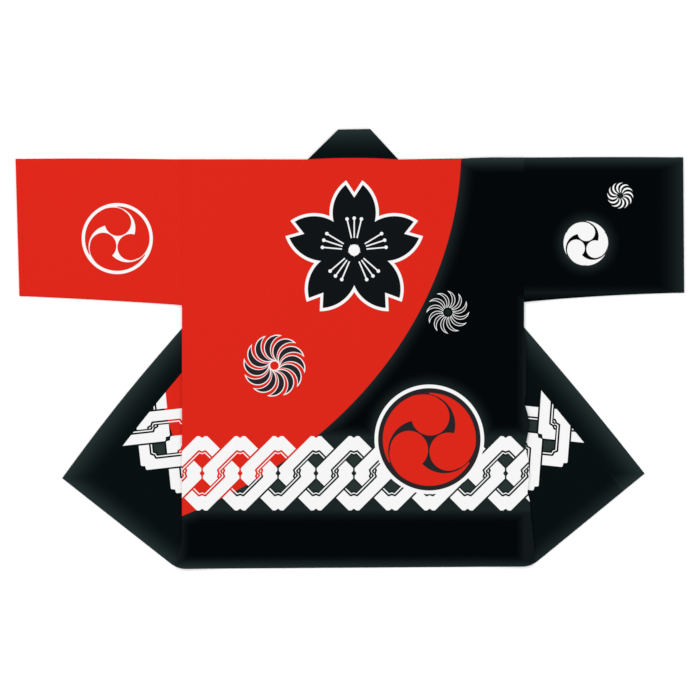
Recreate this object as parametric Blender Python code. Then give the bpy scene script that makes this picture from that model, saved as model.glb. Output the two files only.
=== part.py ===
"""Happi coat laid flat: face down with its back up, each front folded out under it as a wing.

Blender 4.5, metres, +Z up. The floor is Z = 0, the neck is at +Y, the hem at -Y.
Sizes below are in millimetres. X is measured from the middle of the back and Y from the
hem. The whole coat is then moved so that the middle of its outline lies over the origin.

From the floor up the cloth lies in three layers:
  the folded-out wings, outer face up, with the collar along their free edge;
  the rest of the fronts, outer face down, and the lower half of each sleeve;
  the back, the upper half of each sleeve and the band of the collar behind the neck.
Between the two folds nothing lies under the back, so there it sinks to the floor.
"""

import math
from collections import namedtuple

import bmesh
import bpy
from mathutils import Vector

MM = 0.001

# Cloth.
CLOTH = 1.2  # wall of every piece
GAP = 0.3  # between two layers, and between two pieces at a seam
LAYER = CLOTH + GAP  # from one layer to the next
BEND_STEPS = 6  # flat strips round a fold

# A fold joins two neighbouring layers with half a turn round this small radius.
BEND_RADIUS = GAP / 2
BEND_LENGTH = math.pi * (BEND_RADIUS + CLOTH / 2)

# Back.
BACK_HALF = 332.0  # from the middle to each side seam
NECK_HALF = 88.0  # from the middle to each end of the neck seam
NECK_BOW = 3.0  # rise of the neck seam at the middle
NECK_STEPS = 8
SINK_START = 3.0  # from a fold towards the middle, where the back starts to sink
SINK_LENGTH = 90.0  # how far it takes to reach the floor
SINK_STEPS = 6

# Bow of a wing's free edge, from the wing's tip to where it passes the side seam. Both are
# measured along the fold from its foot.
BOW_START = 100.0
BOW_END = 450.0
BOW_STEPS = 6

# Side seams and sleeves.
CORNER_RADIUS = 47.0  # of the rounded corner where a wing leaves the hem
CORNER_STEPS = 4
SLEEVE_LIFT = 60.0  # from the armhole, where a sleeve sinks to the floor
SLEEVE_STEPS = 12

Side = namedtuple(
    "Side",
    "name turn fold_foot fold_head hem_edge wing_tip wing_bow hem_seam neck_seam neck_edge"
    " seam_bulge shoulder",
)
# turn is +1 where the side lies at -X. The fold runs from its foot on the hem to its head
# on the collar's free edge. hem_edge and hem_seam are the collar's corners at the hem
# before folding, and wing_tip is hem_edge once folded out. wing_bow is how far the wing's
# free edge then bows outwards. neck_seam and neck_edge are the ends of the crease that
# turns the collar behind the neck. seam_bulge has a row for each height up the side seam
# and how far the back stands out there. shoulder does the same for places along the
# shoulder: distance from the middle, height.
LEFT = Side(
    name="left",
    turn=1,
    fold_foot=(-341.4, 0.0),
    fold_head=(-29.2, 846.0),
    hem_edge=(-53.0, 0.0),
    wing_tip=(-565.0, 176.0),
    wing_bow=5.3,
    hem_seam=(-109.0, 0.0),
    neck_seam=(-88.0, 795.0),
    neck_edge=(-29.0, 853.0),
    seam_bulge=((26.0, 0.0), (468.0, 0.0)),
    shoulder=((332.0, 795.2), (200.0, 795.2)),
)
RIGHT = Side(
    name="right",
    turn=-1,
    fold_foot=(345.9, 4.4),
    fold_head=(34.1, 831.0),
    hem_edge=(53.0, 4.4),
    wing_tip=(566.6, 184.9),
    wing_bow=2.6,
    hem_seam=(109.0, 4.4),
    neck_seam=(88.0, 795.0),
    neck_edge=(33.6, 854.0),
    seam_bulge=(
        (42.0, 19.7),
        (102.0, 13.3),
        (133.0, 10.8),
        (149.0, 6.5),
        (182.0, 10.0),
        (211.0, 8.0),
        (236.0, 2.4),
        (252.0, 5.5),
        (279.0, 10.8),
        (300.0, 7.3),
        (322.0, 0.6),
        (343.0, 4.2),
        (435.0, 4.4),
        (468.0, 0.0),
    ),
    shoulder=((332.0, 798.8), (270.0, 798.9), (230.0, 797.8), (190.0, 795.2), (150.0, 794.6)),
)

Sleeve = namedtuple("Sleeve", "name turn shoulder underarm cuff_top cuff_foot top_bow foot_bow")
# The corners of each sleeve as it lies, and how far its two long edges bow upwards.
SLEEVE_LEFT = Sleeve(
    name="sleeve_left",
    turn=1,
    shoulder=(-332.0, 795.2),
    underarm=(-332.0, 512.0),
    cuff_top=(-655.4, 796.4),
    cuff_foot=(-647.8, 529.5),
    top_bow=1.4,
    foot_bow=1.0,
)
SLEEVE_RIGHT = Sleeve(
    name="sleeve_right",
    turn=-1,
    shoulder=(332.0, 798.8),
    underarm=(332.0, 518.0),
    cuff_top=(641.2, 799.4),
    cuff_foot=(643.2, 536.0),
    top_bow=0.9,
    foot_bow=2.8,
)

# Colours (linear), for a look at the solids only.
RED = (0.72, 0.022, 0.010, 1.0)
BLACK = (0.010, 0.012, 0.012, 1.0)
CLOTH_ROUGHNESS = 0.85


def smooth_step(t):
    """0 to 1 with level ends."""
    t = min(max(t, 0.0), 1.0)
    return t * t * (3.0 - 2.0 * t)


def fold_lines(side):
    """The fold's foot, its direction, and the direction across it towards the middle."""
    foot = Vector(side.fold_foot)
    along = (Vector(side.fold_head) - foot).normalized()
    across = Vector((along.y, -along.x)) * side.turn
    return foot, along, across


def across_fold(side, point):
    """How far a point lies past the fold, towards the middle of the coat."""
    foot, _, across = fold_lines(side)
    return (Vector(point) - foot).dot(across)


def wing_direction(side):
    """Where a millimetre past the fold goes once the front is folded out."""
    foot, along, across = fold_lines(side)
    corner = Vector(side.hem_edge)
    base = foot + along * (corner - foot).dot(along) - across * (BEND_LENGTH / 2)
    return (Vector(side.wing_tip) - base) / (across_fold(side, corner) - BEND_LENGTH / 2)


def wing_stretch(side, run):
    """How much wider than its cut the wing lies, this far up the fold."""
    share = (run - BOW_START) / (BOW_END - BOW_START)
    if not 0.0 < share < 1.0:
        return 1.0
    hem, neck = Vector(side.hem_edge), Vector(side.neck_edge)
    foot, along, _ = fold_lines(side)
    near, far = (hem - foot).dot(along), (neck - foot).dot(along)
    edge = hem.lerp(neck, (run - near) / (far - near))
    return 1.0 + side.wing_bow * math.sin(math.pi * share) / across_fold(side, edge)


def folded(side, point, rise):
    """Where a point of the flat front goes. rise is its distance from the outer face."""
    foot, along, across = fold_lines(side)
    past = across_fold(side, point)
    if past <= -BEND_LENGTH / 2:
        return Vector((point[0], point[1], LAYER + rise))
    run = (Vector(point) - foot).dot(along)
    base = foot + along * run - across * (BEND_LENGTH / 2)
    if past >= BEND_LENGTH / 2:
        reach = (past - BEND_LENGTH / 2) * wing_stretch(side, run)
        place = base + wing_direction(side) * reach
        return Vector((place.x, place.y, CLOTH - rise))
    angle = math.pi * (past / BEND_LENGTH + 0.5)
    radius = BEND_RADIUS + rise
    place = base + across * (radius * math.sin(angle))
    return Vector((place.x, place.y, CLOTH + BEND_RADIUS + radius * math.cos(angle)))


def bend_offsets():
    """Distances from the fold at which the cloth turns a little further."""
    return [BEND_LENGTH * (step / BEND_STEPS - 0.5) for step in range(BEND_STEPS + 1)]


def bow_runs():
    """Places along the fold between which the wing's free edge is straight."""
    return [BOW_START + (BOW_END - BOW_START) * step / BOW_STEPS for step in range(BOW_STEPS + 1)]


def sink_offsets():
    """Distances past a fold at which the top layer sinks a little further."""
    return [SINK_START + SINK_LENGTH * step / SINK_STEPS for step in range(SINK_STEPS + 1)]


def top_level(point):
    """Underside of the top layer: two layers up, and down to the floor between the folds."""
    past = min(across_fold(LEFT, point), across_fold(RIGHT, point))
    return 2 * LAYER * (1.0 - smooth_step((past - SINK_START) / SINK_LENGTH))


def middle_line():
    """A point and the direction across the line that is as far past one fold as the other."""
    left_foot, _, left_across = fold_lines(LEFT)
    right_foot, _, right_across = fold_lines(RIGHT)
    across = left_across - right_across
    reach = left_foot.dot(left_across) - right_foot.dot(right_across)
    return across * (reach / across.length_squared), across.normalized()


def hem_corner(side):
    """The rounded corner at the fold's foot, from the hem to the side seam."""
    foot, along, _ = fold_lines(side)
    hem = (foot - Vector(side.hem_seam)).normalized()
    lean = math.acos(min(1.0, hem.dot(Vector((along.y, -along.x)) * -side.turn)))
    start = foot - hem * (CORNER_RADIUS * math.tan(lean))
    centre = start + Vector((0.0, CORNER_RADIUS))
    points = []
    for step in range(CORNER_STEPS + 1):
        angle = 1.35 * lean * step / CORNER_STEPS
        reach = Vector((-side.turn * math.sin(angle), -math.cos(angle)))
        points.append(centre + reach * CORNER_RADIUS)
    return points


def bow(x):
    """How far the neck seam rises over a straight line at this distance from the middle."""
    return NECK_BOW * (1.0 - (x / NECK_HALF) ** 2)


def side_of_back(side):
    """Half the back's outline, from the hem up the side seam to the neck seam."""
    outward = -side.turn
    points = hem_corner(side)
    points += [Vector((outward * (BACK_HALF + bulge), height)) for height, bulge in side.seam_bulge]
    points += [Vector((outward * place, height)) for place, height in side.shoulder]
    points.append(Vector(side.neck_seam) - Vector((0.0, GAP / 2)))
    return points


def back_outline():
    left = side_of_back(LEFT)
    right = side_of_back(RIGHT)
    neck = []
    for step in range(1, NECK_STEPS):
        x = NECK_HALF * (1.0 - 2.0 * step / NECK_STEPS)
        neck.append(Vector((x, LEFT.neck_seam[1] + bow(x) - GAP / 2)))
    return right + neck + list(reversed(left))


def front_outline(side):
    """A front before folding: hem corner, side seam, shoulder, collar seam."""
    outward = -side.turn
    off_seam = Vector((outward * GAP / 2, 0.0))
    points = [Vector(side.hem_seam) + off_seam]
    points += hem_corner(side)
    points.append(Vector((outward * BACK_HALF, 60.0)))
    points.append(Vector((outward * BACK_HALF, side.shoulder[0][1])))
    points.append(Vector(side.neck_seam) + off_seam)
    return points if outward > 0 else list(reversed(points))


def fold_cuts(side, offsets):
    """Lines parallel to the fold, each as a point on it and the direction across it."""
    foot, _, across = fold_lines(side)
    return [(foot + across * offset, across) for offset in offsets]


def principled(name, colour):
    material = bpy.data.materials.new(name)
    material.use_nodes = True
    shader = material.node_tree.nodes["Principled BSDF"]
    shader.inputs["Base Color"].default_value = colour
    shader.inputs["Roughness"].default_value = CLOTH_ROUGHNESS
    shader.inputs["Metallic"].default_value = 0.0
    return material


def new_object(name, mesh_data, material, collection):
    """A named object from a bmesh in millimetres."""
    bmesh.ops.recalc_face_normals(mesh_data, faces=mesh_data.faces)
    bmesh.ops.scale(mesh_data, vec=Vector((MM, MM, MM)), verts=mesh_data.verts)
    mesh = bpy.data.meshes.new(name)
    mesh_data.to_mesh(mesh)
    mesh_data.free()
    mesh.materials.append(material)
    made = bpy.data.objects.new(name, mesh)
    collection.objects.link(made)
    return made


def cloth_panel(outline, cuts, place):
    """A flat outline cut into strips, given its thickness, and laid by place(point, rise)."""
    panel = bmesh.new()
    panel.faces.new([panel.verts.new((point.x, point.y, 0.0)) for point in outline])
    for point, across in cuts:
        bmesh.ops.bisect_plane(
            panel,
            geom=panel.verts[:] + panel.edges[:] + panel.faces[:],
            plane_co=(point.x, point.y, 0.0),
            plane_no=(across.x, across.y, 0.0),
            dist=1e-4,
        )
    grown = bmesh.ops.extrude_face_region(panel, geom=panel.faces[:], use_keep_orig=True)
    upper = {item for item in grown["geom"] if isinstance(item, bmesh.types.BMVert)}
    for vert in panel.verts:
        vert.co = place((vert.co.x, vert.co.y), CLOTH if vert in upper else 0.0)
    return panel


def make_back(material, collection):
    """The back, which sinks to the floor between the two folds."""
    cuts = fold_cuts(LEFT, sink_offsets()) + fold_cuts(RIGHT, sink_offsets()) + [middle_line()]
    panel = cloth_panel(
        back_outline(),
        cuts,
        lambda point, rise: Vector((point[0], point[1], top_level(point) + rise)),
    )
    return new_object("back_panel", panel, material, collection)


def make_front(side, material, collection):
    """A front, half under the back and half folded out as a wing."""
    foot, along, _ = fold_lines(side)
    cuts = fold_cuts(side, bend_offsets()) + [(foot + along * run, along) for run in bow_runs()]
    panel = cloth_panel(front_outline(side), cuts, lambda point, rise: folded(side, point, rise))
    return new_object(f"front_panel_{side.name}", panel, material, collection)


def line_crossing(start, end, point, across):
    """Where the line from start to end crosses the line through point with this normal."""
    begin = (Vector(start) - point).dot(across)
    finish = (Vector(end) - point).dot(across)
    return Vector(start).lerp(Vector(end), begin / (begin - finish))


def collar_stations(side):
    """The collar of one front, hem to neck, as (seam place, edge place) pairs in 3-D."""
    inward = Vector((side.turn * GAP / 2, 0.0))
    foot, along, across = fold_lines(side)
    seam = (Vector(side.hem_seam) + inward, Vector(side.neck_seam) + inward)
    edge = (Vector(side.hem_edge), Vector(side.neck_edge))
    pairs = [(seam[0], edge[0])]
    lines = [(foot + along * run, along) for run in bow_runs()]
    lines += [(foot + across * offset, across) for offset in reversed(bend_offsets())]
    for line in lines:
        pairs.append((line_crossing(*seam, *line), line_crossing(*edge, *line)))
    return [[folded(side, place, rise) for place in pair for rise in (0.0, CLOTH)] for pair in pairs]


def crease_stations(side):
    """The turn of the collar over its crease, from under the neck to behind it."""
    edge = Vector(side.neck_edge)
    along = (edge - Vector(side.neck_seam)).normalized()
    outward = Vector((-along.y, along.x)) * side.turn
    seam = Vector(side.neck_seam) + Vector((0.0, GAP / 2)) + along * (BEND_RADIUS + CLOTH)
    middle = 2 * LAYER - GAP / 2
    stations = []
    for step in range(BEND_STEPS + 1):
        angle = math.pi * step / BEND_STEPS
        station = []
        for place in (seam, edge):
            for rise in (0.0, CLOTH):
                radius = BEND_RADIUS + CLOTH - rise
                spot = place + outward * (radius * math.sin(angle) - BEND_RADIUS - CLOTH)
                station.append(Vector((spot.x, spot.y, middle - radius * math.cos(angle))))
        stations.append(station)
    return stations


def band_station(seam, edge, along):
    """One line across the band behind the neck, with the bow of the neck seam added along it."""
    seam = seam + along * ((bow(seam.x) + GAP / 2) / along.y)
    # The outer face is up here, so the faces come in the opposite order to a wing's.
    return [
        Vector((spot.x, spot.y, top_level(spot) + CLOTH - rise))
        for spot in (seam, edge)
        for rise in (0.0, CLOTH)
    ]


def band_stations(side):
    """The band behind the neck, from the fold to where the middle line cuts the sinking cloth."""
    _, along, _ = fold_lines(side)
    point, across = middle_line()
    stations = []
    for line in fold_cuts(side, [0.0] + sink_offsets()):
        seam = line_crossing(LEFT.neck_seam, RIGHT.neck_seam, *line)
        edge = line_crossing(LEFT.neck_edge, RIGHT.neck_edge, *line)
        if (point - edge).dot(across) * side.turn > SINK_START:
            stations.append(band_station(seam, edge, along))
    return stations


def middle_station():
    """The band on the middle line."""
    line = middle_line()
    seam = line_crossing(LEFT.neck_seam, RIGHT.neck_seam, *line)
    edge = line_crossing(LEFT.neck_edge, RIGHT.neck_edge, *line)
    return band_station(seam, edge, Vector((-line[1].y, line[1].x)))


def loft(sections):
    """Closed four-sided sections joined in a row and capped at both ends."""
    band = bmesh.new()
    rings = [[band.verts.new(section[corner]) for corner in (0, 1, 3, 2)] for section in sections]
    for ring, following in zip(rings, rings[1:]):
        for corner in range(4):
            after = (corner + 1) % 4
            band.faces.new((ring[corner], ring[after], following[after], following[corner]))
    band.faces.new(reversed(rings[0]))
    band.faces.new(rings[-1])
    return band


def make_collar(material, collection):
    """One long strip: up the left front, behind the neck, down the right front."""
    left = collar_stations(LEFT) + crease_stations(LEFT) + band_stations(LEFT)
    right = collar_stations(RIGHT) + crease_stations(RIGHT) + band_stations(RIGHT)
    strip = left + [middle_station()] + list(reversed(right))
    return new_object("collar", loft(strip), material, collection)


def sleeve_lines(sleeve, share):
    """Heights of the top fold and of the seam under the arm, this far towards the cuff."""
    hump = 4.0 * share * (1.0 - share)
    top = sleeve.shoulder[1] + (sleeve.cuff_top[1] - sleeve.shoulder[1]) * share
    foot = sleeve.underarm[1] + (sleeve.cuff_foot[1] - sleeve.underarm[1]) * share
    return top + sleeve.top_bow * hump, foot + sleeve.foot_bow * hump


def sleeve_ring(sleeve, share, inset, lift):
    """A flat ring of cloth across a sleeve, as points in 3-D."""
    top, foot = sleeve_lines(sleeve, share)
    middle = CLOTH + GAP / 2
    radius = middle - inset
    ring = []
    for centre, start in ((top - middle, -90.0), (foot + middle, 90.0)):
        for step in range(BEND_STEPS + 1):
            angle = math.radians(start + 180.0 * step / BEND_STEPS)
            height = centre + radius * math.cos(angle)
            level = lift + middle + radius * math.sin(angle)
            ring.append(sleeve_point(sleeve, share, height, level))
    return ring


def sleeve_point(sleeve, share, height, level):
    """A point of the sleeve: share is 0 at the armhole and 1 at the cuff."""
    armhole = sleeve.shoulder[0] - sleeve.turn * GAP
    drop = (sleeve.cuff_top[1] - height) / (sleeve.cuff_top[1] - sleeve.cuff_foot[1])
    cuff = sleeve.cuff_top[0] + (sleeve.cuff_foot[0] - sleeve.cuff_top[0]) * drop
    return Vector((armhole + (cuff - armhole) * share, height, level))


def sleeve_shares(lift_share):
    """Places along a sleeve, closer together where it sinks beside the armhole."""
    shares = [lift_share * step / SINK_STEPS for step in range(SINK_STEPS)]
    rest = SLEEVE_STEPS - SINK_STEPS
    return shares + [lift_share + (1.0 - lift_share) * step / rest for step in range(rest + 1)]


def join_rings(tube, first, second):
    """Closes the strip between two rings of vertices with four-sided faces."""
    for spot in range(len(first)):
        after = (spot + 1) % len(first)
        tube.faces.new((first[spot], first[after], second[after], second[spot]))


def make_sleeve(sleeve, material, collection):
    """A flat tube, open at the cuff and at the armhole."""
    lift_share = SLEEVE_LIFT / abs(sleeve.cuff_top[0] - sleeve.shoulder[0])
    tube = bmesh.new()
    walls = ([], [])
    for share in sleeve_shares(lift_share):
        lift = LAYER * (1.0 - smooth_step(share / lift_share))
        for wall, inset in zip(walls, (0.0, CLOTH)):
            wall.append([tube.verts.new(spot) for spot in sleeve_ring(sleeve, share, inset, lift)])
    for wall in walls:
        for ring, following in zip(wall, wall[1:]):
            join_rings(tube, ring, following)
    for end in (0, -1):
        join_rings(tube, walls[0][end], walls[1][end])
    return new_object(sleeve.name, tube, material, collection)


def centre_on_floor(objects):
    """Moves every mesh so that the middle of the whole outline lies over the origin."""
    xs = [vert.co.x for made in objects for vert in made.data.vertices]
    ys = [vert.co.y for made in objects for vert in made.data.vertices]
    shift = Vector((-(min(xs) + max(xs)) / 2, -(min(ys) + max(ys)) / 2, 0.0))
    for made in objects:
        made.location = shift


def build():
    for old in list(bpy.data.objects):
        bpy.data.objects.remove(old, do_unlink=True)
    coat = bpy.data.collections.new("happi_coat")
    bpy.context.scene.collection.children.link(coat)
    red = principled("cloth_red", RED)
    black = principled("cloth_black", BLACK)
    made = [
        make_back(red, coat),
        make_front(LEFT, black, coat),
        make_front(RIGHT, black, coat),
        make_sleeve(SLEEVE_LEFT, red, coat),
        make_sleeve(SLEEVE_RIGHT, black, coat),
        make_collar(black, coat),
    ]
    centre_on_floor(made)


build()
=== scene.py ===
# %% [markdown]
# # A happi coat laid out with its back up
#
# A happi is a short straight coat worn at festivals. It is sewn from plain rectangles of
# cotton: a back, two fronts, two sleeves and one long collar. Dye or ink gives it large
# bold patterns. Here it lies on a table, back up, with both fronts folded out to the sides.
#
# The solids of the coat are loaded first. They say where each layer of cloth lies, and
# every piece below is made to lie in the place of one of them.

# %% Load the coat's solids
import math
from collections import namedtuple

import bmesh
import bpy
from mathutils import Matrix, Vector, noise


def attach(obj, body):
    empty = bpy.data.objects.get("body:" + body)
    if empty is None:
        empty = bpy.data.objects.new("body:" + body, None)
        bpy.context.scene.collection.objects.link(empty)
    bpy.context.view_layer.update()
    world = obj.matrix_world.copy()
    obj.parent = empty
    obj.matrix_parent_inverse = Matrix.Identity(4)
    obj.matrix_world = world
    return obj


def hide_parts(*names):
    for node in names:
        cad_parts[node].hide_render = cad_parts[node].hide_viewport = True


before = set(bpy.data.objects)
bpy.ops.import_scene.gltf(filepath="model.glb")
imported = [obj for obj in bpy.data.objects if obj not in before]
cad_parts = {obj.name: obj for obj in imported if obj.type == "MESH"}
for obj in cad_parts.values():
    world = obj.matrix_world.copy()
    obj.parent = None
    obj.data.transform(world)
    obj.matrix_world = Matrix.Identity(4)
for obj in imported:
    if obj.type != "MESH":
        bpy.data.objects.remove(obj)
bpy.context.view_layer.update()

# %% [markdown]
# ## The camera
#
# The coat is seen from straight above. A long lens, far away, keeps the outline free of
# perspective, as on a picture made for a catalogue. The distance follows from the width
# that the picture has to show, so it is worked out and not found by trial.

# %% Place the camera
VIEW_WIDTH = 1.3601  # metres across the picture
VIEW_CENTRE = (0.0003, -0.0020)
LENS = 100.0
SENSOR = 36.0

eye = bpy.data.objects.new("camera", bpy.data.cameras.new("camera"))
bpy.context.scene.collection.objects.link(eye)
eye.data.lens = LENS
eye.data.sensor_width = SENSOR
eye.location = (*VIEW_CENTRE, VIEW_WIDTH * LENS / SENSOR)
bpy.context.scene.camera = eye
print("camera height", round(eye.location.z, 3))

# %% [markdown]
# ## Floor and light
#
# Strong flat colours need even light. A white room, a white floor and two large soft lamps
# do it. The display is set to Standard, since the default one would dull the red.

# %% Make the floor
FLOOR_SIZE = 7.0
FLOOR_DROP = 0.0002  # just under the cloth, so that the two never share a plane
FLOOR_ROUGHNESS = 0.9
FLOOR_GLOW = 0.12  # keeps the shadow round the coat faint
PURE_WHITE = (1.0, 1.0, 1.0, 1.0)


def plain_material(name, colour, roughness):
    material = bpy.data.materials.new(name)
    material.use_nodes = True
    shader = material.node_tree.nodes["Principled BSDF"]
    shader.inputs["Base Color"].default_value = colour
    shader.inputs["Roughness"].default_value = roughness
    return material


def object_from(name, shape, *materials):
    """Turns a bmesh into an object with these materials."""
    mesh = bpy.data.meshes.new(name)
    shape.to_mesh(mesh)
    shape.free()
    for material in materials:
        mesh.materials.append(material)
    made = bpy.data.objects.new(name, mesh)
    bpy.context.scene.collection.objects.link(made)
    return made


ground = bmesh.new()
bmesh.ops.create_grid(ground, x_segments=1, y_segments=1, size=FLOOR_SIZE / 2)
bmesh.ops.translate(ground, vec=(0.0, 0.0, -FLOOR_DROP), verts=ground.verts)
floor_material = plain_material("white_floor", PURE_WHITE, FLOOR_ROUGHNESS)
floor = object_from("floor", ground, floor_material)
floor_shader = floor_material.node_tree.nodes["Principled BSDF"]
floor_shader.inputs["Specular IOR Level"].default_value = 0.0
floor_shader.inputs["Emission Color"].default_value = PURE_WHITE
floor_shader.inputs["Emission Strength"].default_value = FLOOR_GLOW

# %% Light it
ROOM_LIGHT = 0.67
LAMPS = (  # place, width, watts
    ((-2.2, 2.0, 2.8), 2.4, 50.0),
    ((2.4, -1.2, 2.6), 2.4, 28.5),
)

bpy.context.scene.view_settings.view_transform = "Standard"
room = bpy.data.worlds.new("room")
room.use_nodes = True
walls = room.node_tree.nodes["Background"]
walls.inputs["Color"].default_value = PURE_WHITE
walls.inputs["Strength"].default_value = ROOM_LIGHT
bpy.context.scene.world = room
for number, (place, width, watts) in enumerate(LAMPS):
    lamp = bpy.data.objects.new(f"lamp_{number}", bpy.data.lights.new(f"lamp_{number}", "AREA"))
    bpy.context.scene.collection.objects.link(lamp)
    lamp.data.size = width
    lamp.data.energy = watts
    lamp.location = place
    lamp.rotation_euler = Vector(place).to_track_quat("Z", "Y").to_euler()
print("lamps", len(LAMPS))

# %% [markdown]
# ## How the coat lies
#
# Sizes are in millimetres, as a tailor would note them: x from the middle of the back and
# y from the hem. The numbers and the fold are those of the solids. A front is cut flat,
# laid under the back with its outer face down, and its free part is folded out along a
# slanting line. Its outer face then looks up, beside the back.
#
# Folding is done as a map from a place on the flat cut to a place in space. Any mesh that
# was drawn on the flat cut can be sent through the same map, and so can the stitches.

# %% Sizes of the coat
MM = 0.001
SHIFT = Vector((6.1, -427.0, 0.0))  # from the tailor's measures to the middle of the picture
CLOTH = 1.2  # room that each layer of cloth has
GAP = 0.3
LAYER = CLOTH + GAP
MIDDLE = CLOTH / 2  # the middle of the cloth's thickness
BEND_STEPS = 6
BEND_RADIUS = GAP / 2
BEND_LENGTH = math.pi * (BEND_RADIUS + MIDDLE)
BACK_HALF = 332.0
BOW_START = 100.0  # a wing is bowed out between these two distances up the fold
BOW_END = 450.0

# turn is 1 where the middle of the coat is to the right of the fold, and -1 otherwise.
# seam_bulge goes up the side seam: a height, and how far the seam stands out there.
# shoulder goes in from the armhole: a distance from the middle, and a height.
Side = namedtuple(
    "Side",
    "name turn fold_foot fold_head hem_edge wing_tip wing_bow hem_seam neck_seam neck_edge"
    " seam_bulge shoulder",
)
LEFT = Side(
    name="left",
    turn=1,
    fold_foot=(-341.4, 0.0),
    fold_head=(-29.2, 846.0),
    hem_edge=(-53.0, 0.0),
    wing_tip=(-565.0, 176.0),
    wing_bow=5.3,
    hem_seam=(-109.0, 0.0),
    neck_seam=(-88.0, 795.0),
    neck_edge=(-29.0, 853.0),
    seam_bulge=((26.0, 0.0), (468.0, 0.0)),
    shoulder=((332.0, 795.2), (200.0, 795.2)),
)
RIGHT = Side(
    name="right",
    turn=-1,
    fold_foot=(345.9, 4.4),
    fold_head=(34.1, 831.0),
    hem_edge=(53.0, 4.4),
    wing_tip=(566.6, 184.9),
    wing_bow=2.6,
    hem_seam=(109.0, 4.4),
    neck_seam=(88.0, 795.0),
    neck_edge=(33.6, 854.0),
    seam_bulge=(
        (42.0, 19.7), (102.0, 13.3), (133.0, 10.8), (149.0, 6.5), (182.0, 10.0),
        (211.0, 8.0), (236.0, 2.4), (252.0, 5.5), (279.0, 10.8), (300.0, 7.3),
        (322.0, 0.6), (343.0, 4.2), (435.0, 4.4), (468.0, 0.0),
    ),
    shoulder=((332.0, 798.8), (270.0, 798.9), (230.0, 797.8), (190.0, 795.2), (150.0, 794.6)),
)
Sleeve = namedtuple("Sleeve", "name shoulder underarm cuff_top cuff_foot top_bow foot_bow")
SLEEVE_LEFT = Sleeve(
    name="left",
    shoulder=(-332.0, 795.2),
    underarm=(-332.0, 512.0),
    cuff_top=(-655.4, 796.4),
    cuff_foot=(-647.8, 529.5),
    top_bow=1.4,
    foot_bow=1.0,
)
SLEEVE_RIGHT = Sleeve(
    name="right",
    shoulder=(332.0, 798.8),
    underarm=(332.0, 518.0),
    cuff_top=(641.2, 799.4),
    cuff_foot=(643.2, 536.0),
    top_bow=0.9,
    foot_bow=2.8,
)
print("back", 2 * BACK_HALF, "mm wide, cuffs at", SLEEVE_LEFT.cuff_top, SLEEVE_RIGHT.cuff_top)

# %% The fold of a front


def smooth_step(t):
    """0 to 1 with level ends."""
    t = min(max(t, 0.0), 1.0)
    return t * t * (3.0 - 2.0 * t)


def fold_lines(side):
    """The fold's foot, its direction, and the direction across it towards the middle."""
    foot = Vector(side.fold_foot)
    along = (Vector(side.fold_head) - foot).normalized()
    across = Vector((along.y, -along.x)) * side.turn
    return foot, along, across


def across_fold(side, point):
    """How far a point lies past the fold, towards the middle of the coat."""
    foot, _, across = fold_lines(side)
    return (Vector(point) - foot).dot(across)


def wing_direction(side):
    """Where a millimetre past the fold goes once the front is folded out."""
    foot, along, across = fold_lines(side)
    corner = Vector(side.hem_edge)
    base = foot + along * (corner - foot).dot(along) - across * (BEND_LENGTH / 2)
    return (Vector(side.wing_tip) - base) / (across_fold(side, corner) - BEND_LENGTH / 2)


def wing_stretch(side, run):
    """How much wider than its cut the wing lies, this far up the fold."""
    share = (run - BOW_START) / (BOW_END - BOW_START)
    if not 0.0 < share < 1.0:
        return 1.0
    hem, neck = Vector(side.hem_edge), Vector(side.neck_edge)
    foot, along, _ = fold_lines(side)
    near, far = (hem - foot).dot(along), (neck - foot).dot(along)
    edge = hem.lerp(neck, (run - near) / (far - near))
    return 1.0 + side.wing_bow * math.sin(math.pi * share) / across_fold(side, edge)


def folded(side, point, rise=MIDDLE):
    """Where a point of the flat front goes. rise is its distance from the outer face."""
    foot, along, across = fold_lines(side)
    past = across_fold(side, point)
    if past <= -BEND_LENGTH / 2:
        return Vector((point[0], point[1], LAYER + rise))
    run = (Vector(point) - foot).dot(along)
    base = foot + along * run - across * (BEND_LENGTH / 2)
    if past >= BEND_LENGTH / 2:
        reach = (past - BEND_LENGTH / 2) * wing_stretch(side, run)
        place = base + wing_direction(side) * reach
        return Vector((place.x, place.y, CLOTH - rise + wing_ease(place)))
    angle = math.pi * (past / BEND_LENGTH + 0.5)
    radius = BEND_RADIUS + rise
    place = base + across * (radius * math.sin(angle))
    return Vector((place.x, place.y, CLOTH + BEND_RADIUS + radius * math.cos(angle)))


def bend_offsets():
    """Distances from a fold at which the cloth turns a little further."""
    return [BEND_LENGTH * (step / BEND_STEPS - 0.5) for step in range(BEND_STEPS + 1)]


# %% [markdown]
# ## Ease
#
# Even well-pressed cotton doesn't lie dead flat. It has a little ease: low swells, a hand
# wide and half a millimetre high, that show only when light skims over the cloth. A smooth
# noise gives them, and the same noise is used for all top layers, so that neighbours still
# meet at their seams. Under another layer the cloth is pressed flat and has none.

# %% Give the layers their heights
EASE = 0.7  # the highest swell
SWELL_SIZE = 95.0  # from one swell to the next
SWELL_NARROWING = 0.8  # swells are a little longer up the coat than across it
SWELL_SHARE = 0.45
RIPPLE_SIZE = 38.0
RIPPLE_PLACE = 300.0  # takes the ripples from another part of the noise
RIPPLE_SHARE = 0.15
WING_CLEAR = 22.0  # no ease this close to the back's side
EASE_START = 40.0  # how far from there a wing takes to get its full ease
SINK_START = 3.0  # this far past both folds the back starts to sink to the table
SINK_LENGTH = 90.0


def ease(point):
    """Height of the swells of a top layer."""
    swell = noise.noise(Vector((point[0], point[1] * SWELL_NARROWING, 0.0)) / SWELL_SIZE)
    ripple = noise.noise(Vector((point[0], point[1], RIPPLE_PLACE)) / RIPPLE_SIZE)
    return EASE * min(max(0.5 + SWELL_SHARE * swell + RIPPLE_SHARE * ripple, 0.0), 1.0)


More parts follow.
